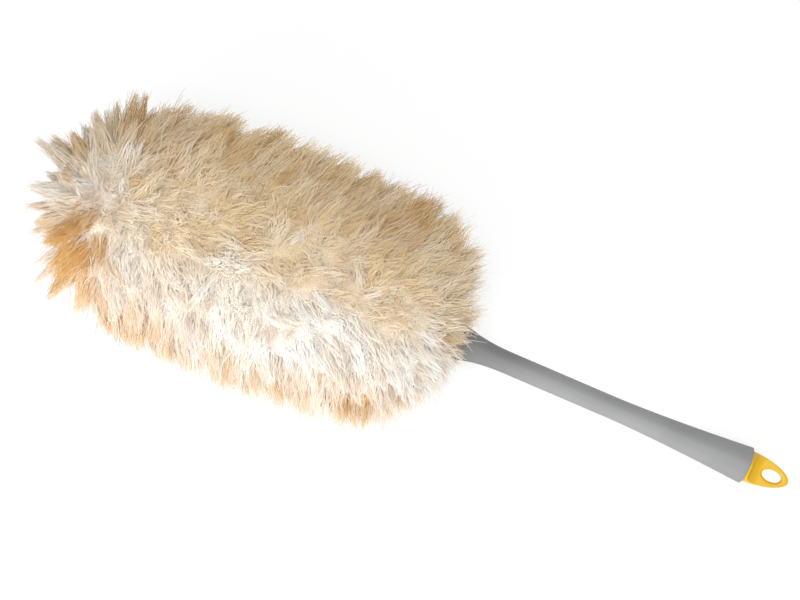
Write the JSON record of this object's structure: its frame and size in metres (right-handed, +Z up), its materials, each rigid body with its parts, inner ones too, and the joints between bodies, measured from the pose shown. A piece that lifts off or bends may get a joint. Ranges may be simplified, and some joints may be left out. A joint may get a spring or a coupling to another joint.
{
  "type": "wool duster",
  "caption": "Lambswool duster: a shaggy capsule of swept-back wool on a rod, a slim moulded handle flared at the wool, and a hanging cap with an oval eyelet that turns in its butt.",
  "frame": {"origin": "middle of the underside of the duster's box, on the surface that it lies on", "axes": "+X along the duster, from the wool towards the hanging cap; +Z up, as it lies on its wool and the butt of its handle"},
  "size_m": [0.6088, 0.188, 0.1683],
  "materials": {
    "handle_plastic": "satin moulded polypropylene, mid grey",
    "cap_plastic": "glossy moulded plastic, golden yellow",
    "rod_wood": "plain beech dowel, sanded",
    "pelt_leather": "tanned sheepskin, flesh side",
    "tack_steel": "bright steel",
    "fleece_wool": "long lambswool locks, cream with tan tips"
  },
  "bodies": {
    "duster": {"handle_shell": "handle_plastic", "core_rod": "rod_wood", "pelt_strip": "pelt_leather", "tip_pelt": "pelt_leather", "tip_tack": "tack_steel", "strip_tack_1": "tack_steel", "strip_tack_2": "tack_steel", "strip_tack_3": "tack_steel", "strip_tack_4": "tack_steel", "fleece_tip": "fleece_wool", "fleece_front": "fleece_wool", "fleece_middle": "fleece_wool", "fleece_rear": "fleece_wool"},
    "hang_loop": {"hang_cap": "cap_plastic"}
  },
  "joints": [
    {"name": "cap_swivel", "type": "hinge", "parent": "duster", "child": "hang_loop", "pos_m": [0.27074, 0.00107, 0.01424], "axis": [0.9902, 0, -0.1393], "continuous": true}
  ]
}
